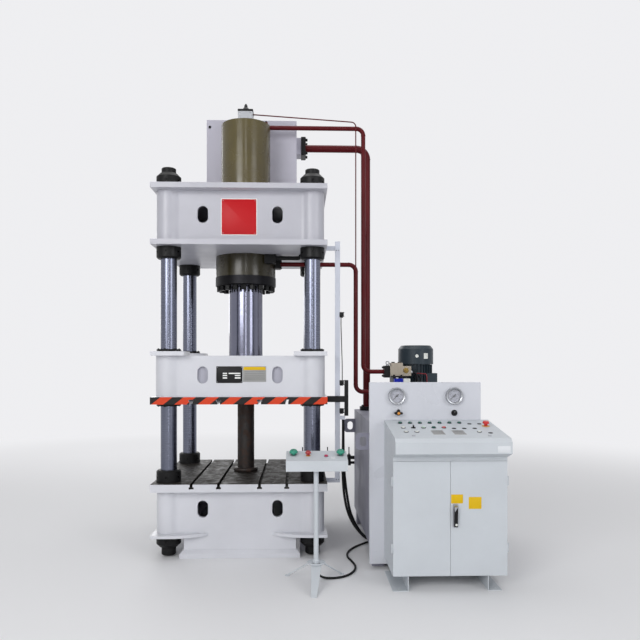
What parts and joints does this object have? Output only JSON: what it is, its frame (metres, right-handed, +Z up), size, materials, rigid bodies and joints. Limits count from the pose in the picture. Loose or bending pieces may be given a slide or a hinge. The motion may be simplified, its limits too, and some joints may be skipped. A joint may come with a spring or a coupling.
{
  "type": "four-column hydraulic press",
  "caption": "Upright column press with a guided slide, T-slot table, top cylinder, pipework, oil tank with motor, control desk and two-hand stand.",
  "frame": {"origin": "on the floor under the centre of the press columns, on the bed's base plate", "axes": "+Z up, +X to the operator's right, +Y from the operator to the back"},
  "size_m": [2.542, 2.163, 3.721],
  "materials": {
    "press_paint": "satin grey-white machine paint",
    "polished_steel": "ground and polished",
    "table_steel": "machined",
    "nut_steel": "oiled black",
    "cylinder_paint": "satin olive bronze",
    "dark_steel": "oiled dark steel",
    "bronze": "machined bronze",
    "pipe_paint": "dark red gloss",
    "black_paint": "black gloss",
    "tank_paint": "gloss grey-lilac",
    "panel_paint": "satin grey-lilac",
    "cabinet_paint": "fine textured powder coat",
    "rusty_steel": "rusty mill scale",
    "motor_paint": "satin blue-grey",
    "fan_plastic": "moulded",
    "gauge_case": "polished bezel, white dial",
    "gauge_needle": "black",
    "black_plastic": "moulded black",
    "green_plastic": "moulded green",
    "red_plastic": "moulded red",
    "zinc": "satin die-cast zinc",
    "bare_steel": "zinc plated",
    "cord_rubber": "matt black sheath"
  },
  "bodies": {
    "press": {"bed": "press_paint", "upper_beam": "press_paint", "columns": "polished_steel", "column_nuts": "nut_steel", "cylinder_barrel": "cylinder_paint", "cylinder_nut": "dark_steel", "gland_ring": "dark_steel", "gland_bolts": "nut_steel", "top_valve": "bare_steel", "prefill_tank": "cabinet_paint", "prop_post": "rusty_steel", "forming_pipe": "pipe_paint", "suction_pipe": "pipe_paint", "return_pipe": "pipe_paint", "black_pipes": "black_paint", "pipe_flanges": "pipe_paint", "reservoir": "tank_paint", "gauge_panel": "panel_paint", "pressure_gauges": "gauge_case", "valve_manifold": "dark_steel", "motor": "motor_paint", "fan_cover": "motor_paint", "switch_rail": "zinc", "proximity_switches": "black_plastic", "cabinet": "cabinet_paint", "stand_base": "cabinet_paint", "stand_post": "cabinet_paint", "button_box": "cabinet_paint", "floor_cable": "cord_rubber", "conduit_left": "cord_rubber", "conduit_right": "cord_rubber", "switch_lead": "cord_rubber"},
    "slide": {"slide_body": "press_paint", "guide_bushes": "bronze", "bush_rings": "nut_steel", "ram": "polished_steel", "cam_arm": "black_paint"},
    "pointer_left": {"pointer_left": "gauge_needle"},
    "pointer_right": {"pointer_right": "gauge_needle"},
    "gauge_valve_knob": {"gauge_valve_knob": "black_plastic"},
    "panel_knob": {"panel_knob": "black_plastic"},
    "motor_fan": {"motor_fan": "fan_plastic"},
    "door_left": {"door_left": "cabinet_paint"},
    "door_right": {"door_right": "cabinet_paint"},
    "handle_hub": {"handle_hub": "zinc"},
    "handle_lever": {"handle_lever": "zinc"},
    "desk_button_1": {"desk_button_1": "green_plastic"},
    "desk_button_2": {"desk_button_2": "green_plastic"},
    "desk_button_3": {"desk_button_3": "green_plastic"},
    "desk_button_4": {"desk_button_4": "green_plastic"},
    "desk_button_5": {"desk_button_5": "green_plastic"},
    "desk_button_6": {"desk_button_6": "green_plastic"},
    "desk_button_7": {"desk_button_7": "green_plastic"},
    "desk_button_8": {"desk_button_8": "green_plastic"},
    "selector": {"selector": "black_plastic"},
    "desk_estop": {"desk_estop": "red_plastic"},
    "palm_button_left": {"palm_button_left": "green_plastic"},
    "palm_button_right": {"palm_button_right": "green_plastic"},
    "stand_estop": {"stand_estop": "red_plastic"},
    "stand_button": {"stand_button": "red_plastic"}
  },
  "joints": [
    {"name": "slide_travel", "type": "slide", "parent": "press", "child": "slide", "axis": [0, 0, 1], "range_m": [0, 0.5]},
    {"name": "pointer_left_turn", "type": "hinge", "parent": "press", "child": "pointer_left", "pos_m": [1.165, -0.895, 1.261], "axis": [0, 1, 0], "range_deg": [0, 270], "stiffness_Nm_per_rad": 0.002},
    {"name": "pointer_right_turn", "type": "hinge", "parent": "press", "child": "pointer_right", "pos_m": [1.584, -0.895, 1.261], "axis": [0, 1, 0], "range_deg": [0, 270], "stiffness_Nm_per_rad": 0.002},
    {"name": "gauge_valve_turn", "type": "hinge", "parent": "press", "child": "gauge_valve_knob", "pos_m": [1.174, -0.885, 1.137], "axis": [0, 1, 0], "range_deg": [0, 90]},
    {"name": "panel_knob_turn", "type": "hinge", "parent": "press", "child": "panel_knob", "pos_m": [1.587, -0.885, 1.137], "axis": [0, 1, 0], "range_deg": [0, 270]},
    {"name": "fan_spin", "type": "hinge", "parent": "press", "child": "motor_fan", "pos_m": [1.526, 0.35, 1.5], "axis": [0, 0, 1], "continuous": true},
    {"name": "door_left_swing", "type": "hinge", "parent": "press", "child": "door_left", "pos_m": [1.068, -1.329, 0.25], "axis": [0, 0, -1], "range_deg": [0, 120]},
    {"name": "door_right_swing", "type": "hinge", "parent": "press", "child": "door_right", "pos_m": [1.838, -1.329, 0.25], "axis": [0, 0, 1], "range_deg": [0, 120]},
    {"name": "handle_turn", "type": "hinge", "parent": "door_right", "child": "handle_hub", "pos_m": [1.486, -1.35, 0.549], "axis": [0, -1, 0], "range_deg": [0, 90]},
    {"name": "handle_lift", "type": "hinge", "parent": "handle_hub", "child": "handle_lever", "pos_m": [1.486, -1.3548, 0.563], "axis": [-1, 0, 0], "range_deg": [0, 40]},
    {"name": "desk_button_1_press", "type": "slide", "parent": "press", "child": "desk_button_1", "axis": [0, 0.1373, -0.9905], "range_m": [0, 0.005], "stiffness_N_per_m": 300, "springref_m": -0.006},
    {"name": "desk_button_2_press", "type": "slide", "parent": "press", "child": "desk_button_2", "axis": [0, 0.1373, -0.9905], "range_m": [0, 0.005], "stiffness_N_per_m": 300, "springref_m": -0.006},
    {"name": "desk_button_3_press", "type": "slide", "parent": "press", "child": "desk_button_3", "axis": [0, 0.1373, -0.9905], "range_m": [0, 0.005], "stiffness_N_per_m": 300, "springref_m": -0.006},
    {"name": "desk_button_4_press", "type": "slide", "parent": "press", "child": "desk_button_4", "axis": [0, 0.1373, -0.9905], "range_m": [0, 0.005], "stiffness_N_per_m": 300, "springref_m": -0.006},
    {"name": "desk_button_5_press", "type": "slide", "parent": "press", "child": "desk_button_5", "axis": [0, 0.1373, -0.9905], "range_m": [0, 0.005], "stiffness_N_per_m": 300, "springref_m": -0.006},
    {"name": "desk_button_6_press", "type": "slide", "parent": "press", "child": "desk_button_6", "axis": [0, 0.1373, -0.9905], "range_m": [0, 0.005], "stiffness_N_per_m": 300, "springref_m": -0.006},
    {"name": "desk_button_7_press", "type": "slide", "parent": "press", "child": "desk_button_7", "axis": [0, 0.1373, -0.9905], "range_m": [0, 0.005], "stiffness_N_per_m": 300, "springref_m": -0.006},
    {"name": "desk_button_8_press", "type": "slide", "parent": "press", "child": "desk_button_8", "axis": [0, 0.1373, -0.9905], "range_m": [0, 0.005], "stiffness_N_per_m": 300, "springref_m": -0.006},
    {"name": "selector_turn", "type": "hinge", "parent": "press", "child": "selector", "pos_m": [1.2435, -1.13473, 1.05253], "axis": [0, 0.1373, -0.9905], "range_deg": [0, 90]},
    {"name": "desk_estop_press", "type": "slide", "parent": "press", "child": "desk_estop", "axis": [0, 0.1373, -0.9905], "range_m": [0, 0.006], "stiffness_N_per_m": 500, "springref_m": -0.008},
    {"name": "palm_left_press", "type": "slide", "parent": "press", "child": "palm_button_left", "axis": [0, 0.2207, -0.9753], "range_m": [0, 0.006], "stiffness_N_per_m": 500, "springref_m": -0.008},
    {"name": "palm_right_press", "type": "slide", "parent": "press", "child": "palm_button_right", "axis": [0, 0.2207, -0.9753], "range_m": [0, 0.006], "stiffness_N_per_m": 500, "springref_m": -0.008},
    {"name": "stand_estop_press", "type": "slide", "parent": "press", "child": "stand_estop", "axis": [0, 0.2207, -0.9753], "range_m": [0, 0.006], "stiffness_N_per_m": 500, "springref_m": -0.008},
    {"name": "stand_button_press", "type": "slide", "parent": "press", "child": "stand_button", "axis": [0, 0.2207, -0.9753], "range_m": [0, 0.005], "stiffness_N_per_m": 300, "springref_m": -0.006}
  ]
}
